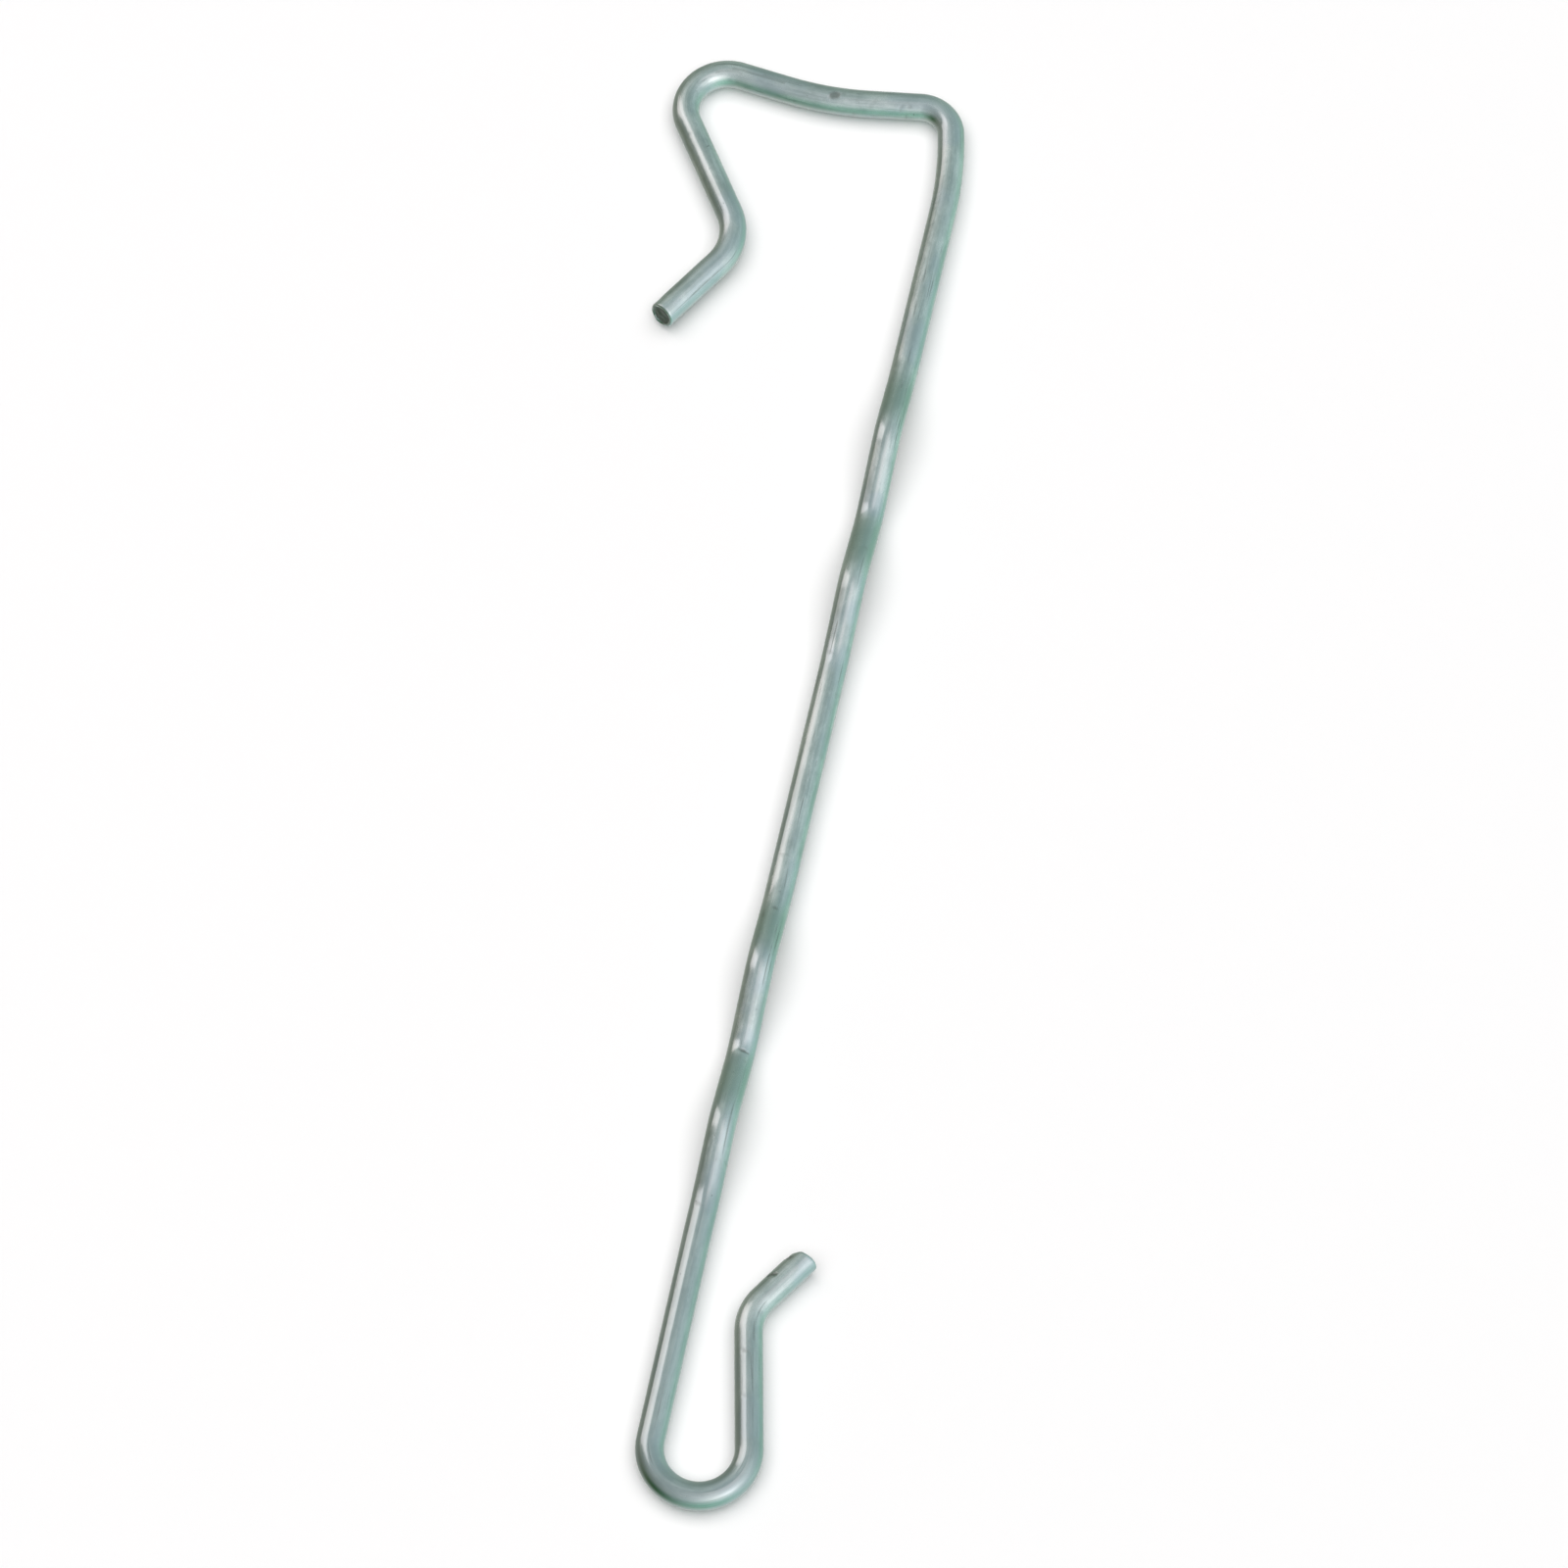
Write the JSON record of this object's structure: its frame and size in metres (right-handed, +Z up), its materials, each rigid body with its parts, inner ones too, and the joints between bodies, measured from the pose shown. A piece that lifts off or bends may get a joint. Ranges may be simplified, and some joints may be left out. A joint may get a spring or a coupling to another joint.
{
  "type": "slate hook",
  "caption": "Bent wire hook that grips a roof batten at its top and carries the lower edge of a slate in a U at its foot.",
  "frame": {"origin": "on the surface that the hook lies on, under the middle of its overall length and width", "axes": "+Y along the shank towards the batten clip, +X from the clip's open side towards the shank and the slate seat, +Z up from the surface that it lies on"},
  "size_m": [0.0406, 0.1506, 0.0051],
  "materials": {
    "zinc_coated_wire": "satin"
  },
  "bodies": {
    "root": {"hook_wire": "zinc_coated_wire"}
  },
  "joints": []
}
